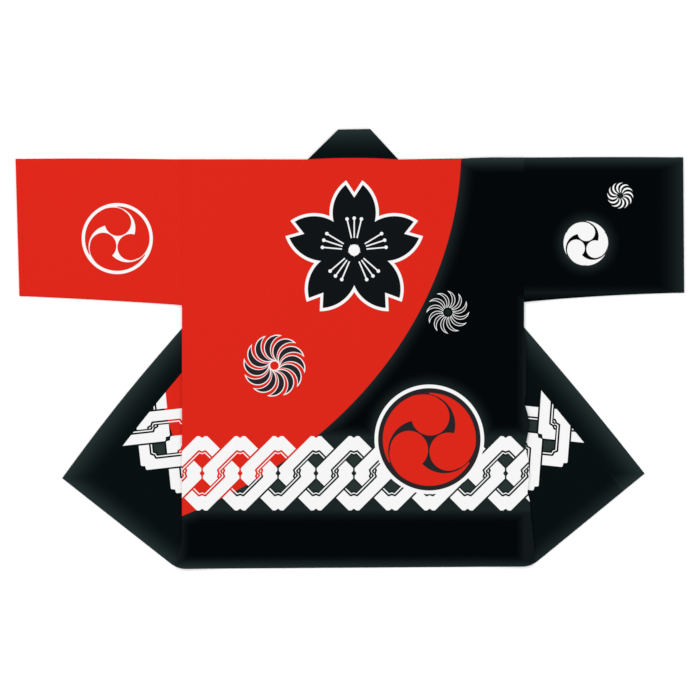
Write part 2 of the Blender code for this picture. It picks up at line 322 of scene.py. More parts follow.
def wing_ease(point):
    """Ease of a folded-out wing, none where the back lies on it."""
    return ease(point) * smooth_step((abs(point[0]) - BACK_HALF - WING_CLEAR) / EASE_START)


def top_level(point):
    """Underside of the top layer: two layers up, and down to the floor between the folds."""
    past = min(across_fold(LEFT, point), across_fold(RIGHT, point))
    return 2 * LAYER * (1.0 - smooth_step((past - SINK_START) / SINK_LENGTH))


def laid_back(point, rise=MIDDLE):
    """Where a point of the back goes. Here rise is measured from the inner face."""
    return Vector((point[0], point[1], top_level(point) + rise + ease(point)))


print("ease at the middle of the back", round(ease((0.0, 400.0)), 2), "mm")

# %% [markdown]
# ## Cutting and laying cloth
#
# Every piece is made the way a tailor makes it. Its outline is drawn as one flat face. The
# face is scored with straight cuts: an even grid, so that the cloth can swell, and close
# lines where it will bend. Each corner then keeps its place on the flat cut as a UV map, in
# metres, so prints and weave follow the cloth wherever it goes. Last, every vertex is moved
# to where it lies, and Solidify gives the cloth its thickness.
#
# A hem is cloth folded over once, so it is thicker. A vertex group with the doubled cloth in
# it tells Solidify where. A small bevel rounds the raw edge of the shell.

# %% Cut, score and lay
GRID = 8.0  # distance between scored lines
SINGLE = 0.62  # thickness of single cloth, as a share of doubled cloth
EDGE_ROUND = 0.22
EDGE_ANGLE = math.radians(60.0)  # edges turning more than this are rounded
SHARP = math.radians(40.0)  # and more than this are shaded sharp
SLACK = 0.01  # places no further apart than this count as one


def cut_flat(outline):
    """One flat face with this outline, looking up."""
    cloth = bmesh.new()
    face = cloth.faces.new([cloth.verts.new((point[0], point[1], 0.0)) for point in outline])
    face.normal_update()
    if face.normal.z < 0.0:
        bmesh.ops.reverse_faces(cloth, faces=[face])
    return cloth


def score(cloth, point, across):
    """A cut along the line through point, at right angles to across."""
    bmesh.ops.bisect_plane(
        cloth,
        geom=cloth.verts[:] + cloth.edges[:] + cloth.faces[:],
        plane_co=(point[0], point[1], 0.0),
        plane_no=(across[0], across[1], 0.0),
        dist=1e-4,
    )


def score_grid(cloth, step=GRID):
    """Even cuts both ways."""
    for axis, across in ((0, (1.0, 0.0)), (1, (0.0, 1.0))):
        low = min(vert.co[axis] for vert in cloth.verts)
        high = max(vert.co[axis] for vert in cloth.verts)
        count = round((high - low) / step)
        for number in range(1, count):
            place = low + (high - low) * number / count
            score(cloth, (place, place), across)


def note_cut(cloth, cut_place=None):
    """Keeps each corner's place on the flat cut as the UV map named cut, in metres."""
    layer = cloth.loops.layers.uv.new("cut")
    for face in cloth.faces:
        for loop in face.loops:
            flat = loop.vert.co.xy
            loop[layer].uv = (cut_place(flat) if cut_place else flat) * MM


def mark_doubled(cloth, is_doubled):
    """Marks the cloth that is folded over, by its place on the flat cut."""
    weights = cloth.verts.layers.deform.verify()
    for vert in cloth.verts:
        vert[weights][0] = 1.0 if is_doubled(vert.co.xy) else 0.0


def lay(cloth, place):
    """Moves the flat cloth to where it lies, in metres. Says if its highest face looks up."""
    for vert in cloth.verts:
        vert.co = place(vert.co.xy)
    bmesh.ops.translate(cloth, vec=SHIFT, verts=cloth.verts)
    bmesh.ops.scale(cloth, vec=(MM, MM, MM), verts=cloth.verts)
    cloth.normal_update()
    top = max(cloth.faces, key=lambda face: face.calc_center_median().z)
    return top.normal.z > 0.0


def thicken(made):
    """Gives a laid piece its thickness and soft edges, and keeps the result as its mesh."""
    made.vertex_groups.new(name="doubled")
    wall = made.modifiers.new("wall", "SOLIDIFY")
    wall.thickness = CLOTH * MM
    wall.offset = 0.0
    wall.vertex_group = "doubled"
    wall.thickness_vertex_group = SINGLE
    wall.use_even_offset = False  # an even wall would throw spikes at the sharp corners
    wall.material_offset = 1
    wall.material_offset_rim = 0
    edge = made.modifiers.new("edge", "BEVEL")
    edge.width = EDGE_ROUND * MM
    edge.segments = 2
    edge.limit_method = "ANGLE"
    edge.angle_limit = EDGE_ANGLE
    graph = bpy.context.evaluated_depsgraph_get()
    mesh = bpy.data.meshes.new_from_object(made.evaluated_get(graph))
    made.modifiers.clear()
    made.data = mesh
    mesh.shade_smooth()
    mesh.set_sharp_from_angle(angle=SHARP)


def sewn_piece(name, cloth, faces, node, up):
    """Makes the object of one piece and hides the solid that it stands for.

    faces are the materials of its outer and inner face. Cloth that lies inside out, so
    isn't up, is reversed first.
    """
    if not up:
        bmesh.ops.reverse_faces(cloth, faces=cloth.faces)
    area = sum(face.calc_area() for face in cloth.faces)
    made = object_from(name, cloth, *faces)
    thicken(made)
    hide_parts(node)
    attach(made, "root")
    print(name, "flat area", round(area, 4), "m2,", len(made.data.polygons), "faces")
    return made


# %% [markdown]
# ## Working out a print
#
# The patterns are plain geometry: rings, blades, commas, a chain of squares. So none of
# them is painted. The material works out, at every point of the cloth, how far that point
# is from the edge of a shape, below zero inside it. Shapes are joined with the lesser of two
# distances, and cut out of each other with the greater.
#
# Math nodes do this, hundreds of them, and wiring them by hand would hide the geometry. A
# small class lets the shapes be written as sums: adding two readings makes an Add node.

# %% Readings
INK_EDGE = 0.35  # width over which an edge of ink fades


class Reading:
    """A number that a material works out at every point of the cloth."""

    def __init__(self, tree, socket):
        self.tree = tree
        self.socket = socket

    def reckon(self, operation, *values, clamp=False):
        """Adds one Math node, fed by readings and plain numbers."""
        node = self.tree.nodes.new("ShaderNodeMath")
        node.operation = operation
        node.use_clamp = clamp
        for value, entry in zip(values, node.inputs):
            if isinstance(value, Reading):
                self.tree.links.new(value.socket, entry)
            else:
                entry.default_value = value
        return Reading(self.tree, node.outputs["Value"])

    def __add__(self, other):
        return self.reckon("ADD", self, other)

    def __sub__(self, other):
        return self.reckon("SUBTRACT", self, other)

    def __rsub__(self, other):
        return self.reckon("SUBTRACT", other, self)

    def __mul__(self, other):
        return self.reckon("MULTIPLY", self, other)

    def __truediv__(self, other):
        return self.reckon("DIVIDE", self, other)

    def __neg__(self):
        return self * -1.0

    def __abs__(self):
        return self.reckon("ABSOLUTE", self)

    __radd__ = __add__
    __rmul__ = __mul__


def least(first, *others):
    for other in others:
        first = first.reckon("MINIMUM", first, other)
    return first


def most(first, *others):
    for other in others:
        first = first.reckon("MAXIMUM", first, other)
    return first


def fraction(reading):
    return reading.reckon("FRACT", reading)


def sine(reading):
    return reading.reckon("SINE", reading)


def cosine(reading):
    return reading.reckon("COSINE", reading)


def reach_of(x, y):
    """Distance from the origin."""
    squares = x * x + y * y
    return squares.reckon("SQRT", squares)


def bearing(x, y):
    """Direction of a point, in degrees from +x."""
    return x.reckon("ARCTAN2", y, x) * math.degrees(1.0)


def turned(x, y, degrees):
    """The same point, read from axes turned by this angle."""
    cos, sin = math.cos(math.radians(degrees)), math.sin(math.radians(degrees))
    return x * cos + y * sin, y * cos - x * sin


def inked(distance, edge=INK_EDGE):
    """1 inside a shape, 0 outside it."""
    return distance.reckon("SUBTRACT", 0.5, distance / edge, clamp=True)


# %% [markdown]
# ## The chain
#
# A band of interlaced links runs round the coat above the hem. Each link is a square ring
# stood on its corner, with its corners cut off and a tiny notch in each. A wide white band
# has a fine white line inside it. Neighbours overlap by half. In the upper half of each
# crossing the right-hand link lies over its neighbour, in the lower half under it, and that
# is what makes the links look woven.
#
# At any point only two links matter: the nearest centre to the left and to the right.

# %% Chain of links
NOTCH_HALF = 5.0
# Each rim of a link: reach along the sides, reach to the cut-off corners, depth of the notch.
LINK_OUTLINE = (87.0, 76.1, 3.6)
LINK_BAND_OUT = (82.2, 72.1, 3.6)
LINK_BAND_IN = (52.2, 44.8, 2.0)
LINK_LINE_OUT = (47.4, 41.0, 2.0)
LINK_LINE_IN = (44.2, 39.1, 2.0)
LINK_OPENING = (40.4, 35.5, 2.0)


def link(x, y, slim):
    """The white ink of one link, the ground that it hides, and its opening."""
    x, y = abs(x), abs(y)
    notch = most(1.0 - least(x, y) / NOTCH_HALF, 0.0)

    def within(rim, less=0.0):
        side_reach, corner_reach, depth = rim
        return most(x + y - (side_reach - less), most(x, y) + notch * depth - corner_reach)

    band = most(within(LINK_BAND_OUT, slim), -within(LINK_BAND_IN))
    line = most(within(LINK_LINE_OUT), -within(LINK_LINE_IN))
    opening = within(LINK_OPENING)
    hidden = most(within(LINK_OUTLINE, slim), -opening)
    return inked(least(band, line)), inked(hidden), inked(opening)


def chain(x, y, start, pitch, slim):
    """The white ink of the chain, and the openings of its links. y is from the links' centres."""
    past = fraction((x - start) / pitch) * pitch
    upper = y.reckon("GREATER_THAN", y, 0.0)
    over_white, over_hidden, over_opening = link(past - upper * pitch, y, slim)
    under_white, under_hidden, under_opening = link(past - (1.0 - upper) * pitch, y, slim)
    white = over_white + under_white * (1.0 - over_hidden)
    openings = most(over_opening, under_opening) * (1.0 - over_hidden) * (1.0 - under_hidden)
    return white, openings


# %% [markdown]
# ## Three commas
#
# Three commas chasing each other in a disc are one of the oldest festival patterns. A comma
# is a round head with a tail that thins along the rim. It is easier to draw what lies
# between them. The gap beside each head is a crescent: what a wide circle holds and a smaller
# one leaves, cut off at the middle of the head. From there a thin wedge runs on along the
# rim, outside one more circle.

# %% Disc of three commas
HEADS = (90.0, 210.0, 330.0)  # directions of the heads
# Circles in a disc of radius 1, seen from a head: centre outwards, centre aside, radius.
HEAD = (0.492, -0.022, 0.410)
GAP_OUTER = (0.315, 0.108, 0.666)
GAP_INNER = (0.559, 0.037, 0.393)
WEDGE_INNER = (-0.019, 0.113, 0.984)


def moved(x, y, centre):
    """The same point, read from this centre."""
    return x - centre[0], y - centre[1]


def circle(x, y, ring):
    """Distance to a circle, given by its centre and radius."""
    return reach_of(*moved(x, y, ring)) - ring[2]


def crescent(x, y, outer, inner):
    """Distance to what one circle holds and another leaves."""
    return most(circle(x, y, outer), -circle(x, y, inner))


def comma_gaps(x, y):
    """Distance to the gaps between the commas, in a disc of radius 1."""
    gaps, heads = [], []
    for degrees in HEADS:
        out, aside = turned(x, y, degrees)
        gaps.append(most(crescent(out, aside, GAP_OUTER, GAP_INNER), aside))
        gaps.append(most(-circle(out, aside, WEDGE_INNER), -aside))
        heads.append(circle(out, aside, HEAD))
    return most(least(*gaps), -least(*heads))


# %% [markdown]
# ## Twisted wheels
#
# The small wheels have twelve blades round a hub. A blade is a crescent too, between a
# bulging arc and a hollow one. Twelve crescents would cost twelve times the nodes, so every
# point is turned back onto one blade. It can't be turned back by whole slices of a cake,
# because the blades are bent: each slice has to start where a ring of that size meets the
# hollow arc, which the law of cosines gives.

# %% Wheel of blades
BLADES = 12
BLADE_ANGLE = 360.0 / BLADES

# Arcs are in shares of the wheel's radius: centre along, centre aside, radius.
Blade = namedtuple("Blade", "bulge hollow dark_bulge dark_hollow")
BROAD_BLADE = Blade(
    bulge=(0.550, -0.088, 0.413),
    hollow=(0.487, -0.350, 0.464),
    dark_bulge=(0.550, -0.080, 0.379),
    dark_hollow=(0.500, -0.320, 0.457),
)
FINE_BLADE = Blade(
    bulge=(0.576, -0.076, 0.421),
    hollow=(0.579, -0.315, 0.504),
    dark_bulge=(0.576, -0.076, 0.393),
    dark_hollow=(0.579, -0.315, 0.532),
)
WHITE_BLADE = Blade(
    bulge=(0.577, -0.103, 0.408),
    hollow=(0.530, -0.277, 0.448),
    dark_bulge=None,
    dark_hollow=None,
)


def meeting(share, arc):
    """Direction in which a ring of this radius meets an arc, in degrees."""
    along, aside, radius = arc
    far = math.hypot(along, aside)
    ratio = least((share * share + (far ** 2 - radius ** 2)) / (share * (2.0 * far)), 1.0)
    lean = math.degrees(math.atan2(aside, along))
    return ratio.reckon("ARCCOSINE", ratio) * math.degrees(1.0) + lean


def one_blade(x, y, arc):
    """Turns every point back onto the first blade. x and y are shares of the radius."""
    share = reach_of(x, y)
    start = meeting(share, arc)
    past = fraction((bearing(x, y) - start) / BLADE_ANGLE) * BLADE_ANGLE
    turn = (start + past) * math.radians(1.0)
    return share * cosine(turn), share * sine(turn)


# %% [markdown]
# ## The blossom
#
# A large five-petal blossom fills the middle of the back. A petal is the overlap of two
# circles, with a notch at its tip. Folding the angle five times draws all petals at once,
# and fine white lines along each petal stand for the stamens.

# %% Blossom
PETALS = 5
PETAL_ANGLE = 360.0 / PETALS
PETAL_CIRCLE = 78.0  # radius of the two circles
PETAL_OUT, PETAL_ASIDE = 72.0, 30.0  # where their centres are
NOTCH_FLOOR = 112.0
NOTCH_SLOPE = 1.5
NOTCH_SCALE = 0.6  # turns rise over a slope into distance from it
OUTLINE_WHITE = 6.0
STAMEN_ANGLES = (0.0, 13.0)  # from the petal's middle, to both sides
STAMEN_START, STAMEN_END = 24.0, 62.0
STAMEN_HALF = 1.3
STAMEN_DOT = 3.4
HEART_RADIUS = 11.0


def blossom(x, y):
    """Distances to the petals and to the fine lines inside them."""
    reach = reach_of(x, y)
    share = fraction((bearing(x, y) - 90.0) / PETAL_ANGLE + 0.5) - 0.5
    fold = share * math.radians(PETAL_ANGLE)
    out = reach * cosine(fold)
    aside = abs(reach * sine(fold))
    petal = reach_of(out - PETAL_OUT, aside + PETAL_ASIDE) - PETAL_CIRCLE
    notch = (NOTCH_FLOOR + aside * NOTCH_SLOPE - out) * NOTCH_SCALE
    petals = most(petal, -notch)
    lines = reach - HEART_RADIUS
    for degrees in STAMEN_ANGLES:
        along, beside = turned(out, aside, degrees)
        line = most(abs(beside) - STAMEN_HALF, STAMEN_START - along, along - STAMEN_END)
        lines = least(lines, line, reach_of(along - STAMEN_END, beside) - STAMEN_DOT)
    return petals, lines


# %% [markdown]
# ## Cotton and ink
#
# The cloth is a plain weave: each yarn goes over one and under the next. The product of two
# sine waves gives that small chequer of raised yarns, and a bump node makes it catch light.
# The same chequer also paints shade on the low yarns and light on the raised ones.
# Yarn is never even, so a noise drawn out along both ways makes faint slubs. The inks sink
# into the cotton, so everything shares the same dull finish with a trace of fuzz, which is
# what Sheen is for.

# %% Finish of the cotton
RED = (0.735, 0.0205, 0.0100, 1.0)
BLACK = (0.0003, 0.0012, 0.0018, 1.0)
SOFT_BLACK = (0.0014, 0.0044, 0.0052, 1.0)  # the fronts took the dye a little less
HIGHLIGHT_BLACK = (0.0190, 0.0315, 0.0320, 1.0)  # painted highlight: black lightened near edges and round the large shapes
INK_BLACK = (0.0045, 0.0065, 0.0080, 1.0)  # printed on the red, as the blossom is
THIN_BLACK = (0.0200, 0.0180, 0.0210, 1.0)  # the same ink in narrow shapes
WHITE = (0.950, 0.950, 0.950, 1.0)
# painted glow: the grey that lights the black inside the links' openings
LINK_GLOW_GREY = (0.021, 0.034, 0.032, 1.0)
HUB_GREY = (0.0090, 0.0160, 0.0170, 1.0)
INSIDE_TONE = (0.020, 0.020, 0.019, 1.0)
INSIDE_SHARE = 0.2  # how much duller the inner face is
ROUGHNESS = 0.88
GLOSS = 0.03
FUZZ = 0.012
FUZZ_ROUGHNESS = 0.45
YARN = 0.85  # width of a yarn
WEAVE_BUMP = 0.06
WEAVE_STRENGTH = 0.6
WEAVE_PAINTED_SHADE = 0.03  # painted shade and light: how much darker the low yarns and lighter the raised ones are
SLUB_SHADE = 0.05  # how much the slubs change the colour
SLUB_ALONG, SLUB_ACROSS = 60.0, 900.0  # scale of the noise along a yarn and across it
# A Mix node has sockets of the same name for every kind of data, so they go by number.
MIX_MASK, MIX_BELOW, MIX_INK, MIX_RESULT = 0, 6, 7, 2


def paint(tree, below, ink, mask):
    """Lays an ink over a colour where the mask says so."""
    mix = tree.nodes.new("ShaderNodeMix")
    mix.data_type = "RGBA"
    for number, value in ((MIX_BELOW, below), (MIX_INK, ink), (MIX_MASK, mask)):
        if isinstance(value, Reading):
            tree.links.new(value.socket, mix.inputs[number])
        elif isinstance(value, bpy.types.NodeSocket):
            tree.links.new(value, mix.inputs[number])
        else:
            mix.inputs[number].default_value = value
    return mix.outputs[MIX_RESULT]


def streaks(tree, cut, name, stretch):
    """A noise drawn out along one way of the cloth, from 0 to 1."""
    place = tree.nodes.new("ShaderNodeMapping")
    place.inputs["Scale"].default_value = stretch
    tree.links.new(cut, place.inputs["Vector"])
    grain = tree.nodes.new("ShaderNodeTexNoise")
    grain.name = name
    grain.inputs["Scale"].default_value = 1.0
    grain.inputs["Detail"].default_value = 3.0
    tree.links.new(place.outputs["Vector"], grain.inputs["Vector"])
    return Reading(tree, grain.outputs["Fac"])


def cotton(name, print_on, inside=False):
    """A cloth material. print_on(tree, x, y) gives its colour at a place on the flat cut, in mm."""
    material = bpy.data.materials.new(name)
    material.use_nodes = True
    tree = material.node_tree
    shader = tree.nodes["Principled BSDF"]
    shader.inputs["Roughness"].default_value = ROUGHNESS
    shader.inputs["Specular IOR Level"].default_value = GLOSS
    shader.inputs["Sheen Weight"].default_value = FUZZ
    shader.inputs["Sheen Roughness"].default_value = FUZZ_ROUGHNESS
    cut = tree.nodes.new("ShaderNodeUVMap")
    cut.uv_map = "cut"
    parts = tree.nodes.new("ShaderNodeSeparateXYZ")
    tree.links.new(cut.outputs["UV"], parts.inputs["Vector"])
    x = Reading(tree, parts.outputs["X"]) * (1.0 / MM)
    y = Reading(tree, parts.outputs["Y"]) * (1.0 / MM)
    colour = print_on(tree, x, y)
    if inside:
        colour = paint(tree, colour, INSIDE_TONE, INSIDE_SHARE)
    weave = sine(x * (math.pi / YARN)) * sine(y * (math.pi / YARN))
    weft = streaks(tree, cut.outputs["UV"], "weft", (SLUB_ALONG, SLUB_ACROSS, 1.0))
    warp = streaks(tree, cut.outputs["UV"], "warp", (SLUB_ACROSS, SLUB_ALONG, 1.0))
    slubs = weft + warp - 1.0
    # the slubs vary the tone; the weave adds painted shade on the low yarns and light on the raised
    # ones
    shade = 1.0 + slubs * SLUB_SHADE + weave * WEAVE_PAINTED_SHADE
    tint = tree.nodes.new("ShaderNodeVectorMath")
    tint.operation = "SCALE"
    tree.links.new(colour, tint.inputs[0])
    tree.links.new(shade.socket, tint.inputs["Scale"])
    tree.links.new(tint.outputs["Vector"], shader.inputs["Base Color"])
    bump = tree.nodes.new("ShaderNodeBump")
    bump.inputs["Strength"].default_value = WEAVE_STRENGTH
    bump.inputs["Distance"].default_value = WEAVE_BUMP * MM
    tree.links.new((weave + slubs).socket, bump.inputs["Height"])
    tree.links.new(bump.outputs["Normal"], shader.inputs["Normal"])
    print(name, len(tree.nodes), "nodes")
    return material


def both_faces(name, print_on):
    """The materials of a printed piece: its outer face and its inner one."""
    outer = cotton(f"printed_{name}", print_on)
    inner = cotton(f"printed_{name}_inside", print_on, inside=True)
    return outer, inner


# %% [markdown]
# ## The print of the back
#
# Red sinks from the left shoulder in one wide curve, and everything beyond it is black. The
# curve is part of an ellipse. The chain, the disc, the two wheels and the blossom are laid
# over these two grounds in the order in which a printer would lay them.

# %% Print of the back
SWEEP_CENTRE = (-752.3, 819.7)
SWEEP_RADII = (962.4, 796.9)
Links = namedtuple("Links", "start pitch height slim")  # slim makes the links narrower
BACK_CHAIN = Links(-292.8, 73.64, 185.6, 0.0)
BLOSSOM_CENTRE = (2.4, 619.0)
DISC_CENTRE = (148.2, 251.5)
DISC_RINGS = (106.4, 99.4, 90.3)  # white ring, black ring, red disc
Wheel = namedtuple("Wheel", "centre radius blade blades_from hub hub_ink")
RED_WHEEL = Wheel((-152.5, 394.7), 62.3, BROAD_BLADE, 8.4, 8.4, RED)
BLACK_WHEEL = Wheel((184.1, 498.3), 41.8, FINE_BLADE, 9.4, 6.0, HUB_GREY)
HUB_RING = 2.0  # white, round the hub of the red wheel
HIGHLIGHT_DEPTH = 36.0  # how far from an edge the painted highlight reaches
FAINT = 9.0  # shapes and side edges get a fainter painted highlight, as if this much further away
EDGE_RATE = 1.25  # the painted highlight reaches less far in from hem and shoulder than that
CHAIN_HALF = 70.0  # about half the height of the chain
SHOULDER = 795.0


def with_painted_highlight(tree, black, depth, fade=HIGHLIGHT_DEPTH):
    """Black with a painted highlight that grows towards an edge. depth is the distance from it."""
    near = depth.reckon("DIVIDE", fade - depth, fade, clamp=True)
    return paint(tree, black, HIGHLIGHT_BLACK, near * near)


def red_ground(x, y):
    """Distance to the edge of the red, below zero in it."""
    out = reach_of((x - SWEEP_CENTRE[0]) / SWEEP_RADII[0], (y - SWEEP_CENTRE[1]) / SWEEP_RADII[1])
    return (out - 1.0) * SWEEP_RADII[1]


def chained(tree, x, y, colour, red, links):
    """The chain over its ground. Its openings get a painted grey glow where the ground is black."""
    white, openings = chain(x, y - links.height, links.start, links.pitch, links.slim)
    # painted glow in the openings over black
    colour = paint(tree, colour, LINK_GLOW_GREY, openings * (1.0 - red))
    return paint(tree, colour, WHITE, white)


def ringed_commas(tree, x, y, colour, centre, rings, inks, gap_ink, widen=0.0):
    """A disc of three commas inside rings, from the outermost in."""
    x, y = moved(x, y, centre)
    reach = reach_of(x, y)
    for radius, ink in zip(rings, inks):
        colour = paint(tree, colour, ink, inked(reach - radius))
    inner = rings[-1]
    gaps = most(comma_gaps(x / inner, y / inner) * inner - widen, reach - inner)
    return paint(tree, colour, gap_ink, inked(gaps))


def wheel(tree, x, y, colour, kind, hub_ring=0.0):
    """White blades round a hub, with dark middles where the kind of blade has them."""
    x, y = moved(x, y, kind.centre)
    reach = reach_of(x, y)
    blade, radius = kind.blade, kind.radius
    along, aside = one_blade(x / radius, y / radius, blade.hollow)
    start = kind.blades_from - reach
    white = most(crescent(along, aside, blade.bulge, blade.hollow) * radius, start)
    if hub_ring:
        white = least(white, reach - kind.hub - hub_ring)
    colour = paint(tree, colour, WHITE, inked(white))
    if blade.dark_bulge:
        dark = crescent(along, aside, blade.dark_bulge, blade.dark_hollow) * radius
        colour = paint(tree, colour, THIN_BLACK, inked(most(dark, start + hub_ring)))
    return paint(tree, colour, kind.hub_ink, inked(reach - kind.hub))


def black_ground(tree, x, y, sweep):
    """The black of the back, with a painted highlight along its edges and round the large shapes.
    """
    disc = reach_of(*moved(x, y, DISC_CENTRE)) - DISC_RINGS[0]
    chain_edge = abs(y - BACK_CHAIN.height) - CHAIN_HALF
    shapes = most(least(disc, chain_edge, sweep), 0.0) + FAINT
    seams = most(BACK_HALF - abs(x), y - SLEEVE_RIGHT.underarm[1], 0.0) + 2.0 * FAINT
    return with_painted_highlight(tree, BLACK, least(least(y, SHOULDER - y) * EDGE_RATE, seams, shapes))


def print_back(tree, x, y):
    sweep = red_ground(x, y)
    red = inked(sweep)
    colour = paint(tree, black_ground(tree, x, y, sweep), RED, red)
    colour = chained(tree, x, y, colour, red, BACK_CHAIN)
    disc_inks = (WHITE, THIN_BLACK, RED)
    colour = ringed_commas(tree, x, y, colour, DISC_CENTRE, DISC_RINGS, disc_inks, THIN_BLACK)
    colour = wheel(tree, x, y, colour, RED_WHEEL, HUB_RING)
    mirrored = 2.0 * BLACK_WHEEL.centre[0] - x  # this wheel turns the other way
    colour = wheel(tree, mirrored, y, colour, BLACK_WHEEL)
    petals, lines = blossom(*moved(x, y, BLOSSOM_CENTRE))
    colour = paint(tree, colour, WHITE, inked(petals))
    colour = paint(tree, colour, INK_BLACK, inked(petals + OUTLINE_WHITE))
    return paint(tree, colour, WHITE, inked(lines))


back_faces = both_faces("back", print_back)

# %% [markdown]
# ## The back
#
# One panel reaches from side seam to side seam. It lies on the two folded fronts, so it is
# highest near the sides and sinks to the table between the folds. The hem is turned up once.
# Along the armholes the seam allowances lie inside, which doubles the cloth there too.

# %% Cut and lay the back
HEM = 17.0
HEM_STEP = 0.9  # over which the doubled cloth ends
ALLOWANCE = 9.0
NECK_HALF = 88.0
NECK_BOW = 3.0
NECK_STEPS = 8
CORNER_RADIUS = 47.0  # of the hem's corners
CORNER_STEPS = 8
CORNER_SWEEP = 1.35  # how far round a corner goes, as a share of the hem's lean


def hem_corner(side):
    """The rounded corner at the fold's foot, from the hem to the side seam."""
    foot, along, _ = fold_lines(side)
    hem = (foot - Vector(side.hem_seam)).normalized()
    lean = math.acos(min(1.0, hem.dot(Vector((along.y, -along.x)) * -side.turn)))
    start = foot - hem * (CORNER_RADIUS * math.tan(lean))
    centre = start + Vector((0.0, CORNER_RADIUS))
    points = []
    for step in range(CORNER_STEPS + 1):
        angle = CORNER_SWEEP * lean * step / CORNER_STEPS
        reach = Vector((-side.turn * math.sin(angle), -math.cos(angle)))
        points.append(centre + reach * CORNER_RADIUS)
    return points


def bow(x):
    """How far the neck seam rises over a straight line."""
    return NECK_BOW * (1.0 - (x / NECK_HALF) ** 2)


def side_of_back(side):
    """Half the back's outline, from the hem up the side seam to the neck seam."""
    outward = -side.turn
    points = hem_corner(side)
    points += [Vector((outward * (BACK_HALF + bulge), height)) for height, bulge in side.seam_bulge]
    points += [Vector((outward * place, height)) for place, height in side.shoulder]
    points.append(Vector(side.neck_seam))
    return points


def back_outline():
    neck = []
    for step in range(1, NECK_STEPS):
        x = NECK_HALF * (1.0 - 2.0 * step / NECK_STEPS)
        neck.append(Vector((x, LEFT.neck_seam[1] + bow(x))))
    return side_of_back(RIGHT) + neck + list(reversed(side_of_back(LEFT)))


def back_doubled(point):
    in_allowance = abs(point[0]) > BACK_HALF - ALLOWANCE - SLACK
    return point[1] < HEM + SLACK or in_allowance


back = cut_flat(back_outline())
score_grid(back)
for height in (HEM, HEM + HEM_STEP):
    score(back, (0.0, height), (0.0, 1.0))
for place in (BACK_HALF - ALLOWANCE, BACK_HALF - ALLOWANCE - HEM_STEP):
    score(back, (place, 0.0), (1.0, 0.0))
    score(back, (-place, 0.0), (1.0, 0.0))
note_cut(back)
mark_doubled(back, back_doubled)
up = lay(back, laid_back)
back_cloth = sewn_piece("back_cloth", back, back_faces, "back_panel", up)

# %% [markdown]
# ## The fronts
#
# Each front is cut straight, from the side seam to the collar. The print was drawn on the
# flat cut, so the chain turns with the cloth when the front is folded out, and its links,
# which stand on their corners on the back, seem to lie square on the wings. The red of the
# left front ends in a curve like that of the back.

# %% Prints of the fronts
FRONT_SWEEP_RISE = 9.0
# The chain is mirrored on the fronts, so its first link is counted from the other side.
LEFT_CHAIN = Links(164.0, 73.64, 185.6, 2.6)
RIGHT_CHAIN = Links(-163.1, 73.64, 187.5, 2.6)
WING_HIGHLIGHT_DEPTH = 46.0  # the painted highlight reaches further in from the hems of the fronts


def print_front_left(tree, x, y):
    red = inked(red_ground(x, y - FRONT_SWEEP_RISE))
    # the black has a painted highlight towards the hem
    ground = paint(tree, with_painted_highlight(tree, SOFT_BLACK, y, WING_HIGHLIGHT_DEPTH), RED, red)
    return chained(tree, -x, y, ground, red, LEFT_CHAIN)


def print_front_right(tree, x, y):
    # the black has a painted highlight towards the hem
    ground = with_painted_highlight(tree, SOFT_BLACK, y - RIGHT.hem_seam[1] + FAINT, WING_HIGHLIGHT_DEPTH)
    return chained(tree, -x, y, ground, 0.0, RIGHT_CHAIN)


# %% Cut and fold the fronts
SEAM_FOOT = 60.0  # the side seam is straight from here up


def front_outline(side):
    """A front before folding: hem corner, side seam, shoulder, collar seam."""
    outward = -side.turn
    points = [Vector(side.hem_seam)]
    points += hem_corner(side)
    points.append(Vector((outward * BACK_HALF, SEAM_FOOT)))
    points.append(Vector((outward * BACK_HALF, side.shoulder[0][1])))
    points.append(Vector(side.neck_seam))
    return points


def make_front(side, print_on):
    cloth = cut_flat(front_outline(side))
    score_grid(cloth)
    hem = side.hem_seam[1] + HEM
    for height in (hem, hem + HEM_STEP):
        score(cloth, (0.0, height), (0.0, 1.0))
    foot, _, across = fold_lines(side)
    for offset in bend_offsets():
        score(cloth, foot + across * offset, across)
    note_cut(cloth)
    mark_doubled(cloth, lambda point: point[1] < hem + SLACK)
    lay(cloth, lambda point: folded(side, point))
    wing = min(cloth.faces, key=lambda face: face.calc_center_median().z)
    up = wing.normal.z > 0.0
    name = f"front_cloth_{side.name}"
    faces = both_faces(f"front_{side.name}", print_on)
    return sewn_piece(name, cloth, faces, f"front_panel_{side.name}", up)


front_cloth_left = make_front(LEFT, print_front_left)
front_cloth_right = make_front(RIGHT, print_front_right)

# %% [markdown]
# ## The sleeves
#
# A sleeve is one rectangle folded over the arm, so it has no seam on top and one under the
# arm. Laid down it is a flat tube with a fold above and a seam below. The mesh starts as a
# rectangle, is scored along its folds, and is rolled into the flat tube. The two edges that
# meet under the arm are then merged.
#
# The left sleeve is red with one large disc. The right one is black with a small disc and a
# wheel. The print is on the half that faces the back; the hidden half is left plain.

# %% Prints of the sleeves
LEFT_DISC = (-457.7, 641.3)
LEFT_RINGS = (69.0, 62.8)
RIGHT_DISC = (452.1, 632.2)
RIGHT_RINGS = (43.3,)
RIGHT_WIDEN = 0.7
CUFF_RATE = 0.5  # the painted highlight reaches twice as far in from the cuff
SLEEVE_WHEEL = Wheel((518.9, 725.0), 25.3, WHITE_BLADE, 5.8, 4.4, HUB_GREY)


def print_sleeve_left(tree, x, y):
    return ringed_commas(tree, x, y, RED, LEFT_DISC, LEFT_RINGS, (WHITE, RED), WHITE)


